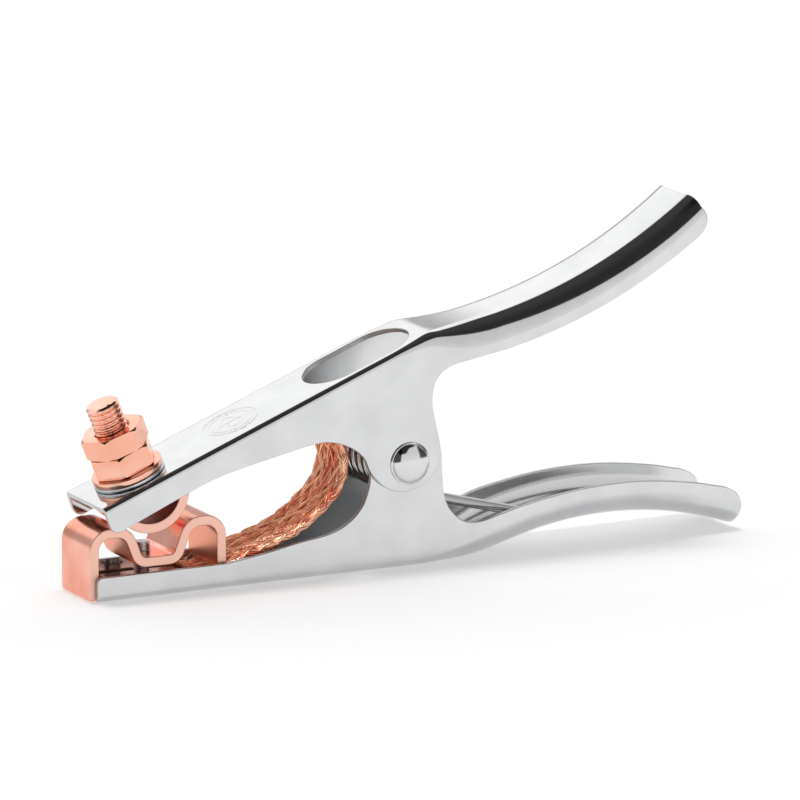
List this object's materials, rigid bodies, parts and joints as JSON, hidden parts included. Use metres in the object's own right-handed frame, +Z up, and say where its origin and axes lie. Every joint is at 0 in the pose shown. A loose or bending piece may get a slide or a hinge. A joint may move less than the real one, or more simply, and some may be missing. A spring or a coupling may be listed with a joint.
{
  "type": "welding ground clamp",
  "caption": "Spring-closed ground clamp for arc welding: folded steel arms on a rivet, bent copper jaws joined by a flexible braid, and a threaded stud for the cable lug.",
  "frame": {"origin": "on the floor plane under the middle of the closed clamp's length and width", "axes": "+X from the jaws to the grips, +Y across the arms along the rivet, +Z up from the sole"},
  "size_m": [0.2118, 0.0332, 0.1018],
  "materials": {
    "plated_steel": "bright nickel plating on folded sheet",
    "spring_steel": "zinc plated spring wire",
    "zinc_steel": "bright zinc plated",
    "copper_strip": null,
    "copper_braid": null,
    "coppered_hardware": null
  },
  "bodies": {
    "lower": {"lower_arm": "plated_steel", "lower_jaw": "copper_strip", "jaw_screw": "zinc_steel", "braid_lug_lower": "copper_strip", "copper_braid": "copper_braid", "pivot_rivet": "plated_steel", "pivot_sleeve": "zinc_steel", "torsion_spring": "spring_steel"},
    "upper": {"upper_arm": "plated_steel", "upper_jaw": "copper_strip", "braid_lug_upper": "copper_strip", "terminal_bolt": "coppered_hardware", "steel_washer": "zinc_steel", "copper_washer": "coppered_hardware", "clamp_nut": "coppered_hardware"},
    "nut": {"terminal_nut": "coppered_hardware"}
  },
  "joints": [
    {"name": "jaw_pivot", "type": "hinge", "parent": "lower", "child": "upper", "pos_m": [-0.00475, 0, 0.0314], "axis": [0, 1, 0], "range_deg": [0, 34], "stiffness_Nm_per_rad": 3.6, "springref_deg": -45.84, "deforming": ["torsion_spring", "copper_braid"]},
    {"name": "terminal_nut_travel", "type": "slide", "parent": "upper", "child": "nut", "axis": [-0.3641, 0, 0.9314], "range_m": [0, 0.006]}
  ]
}
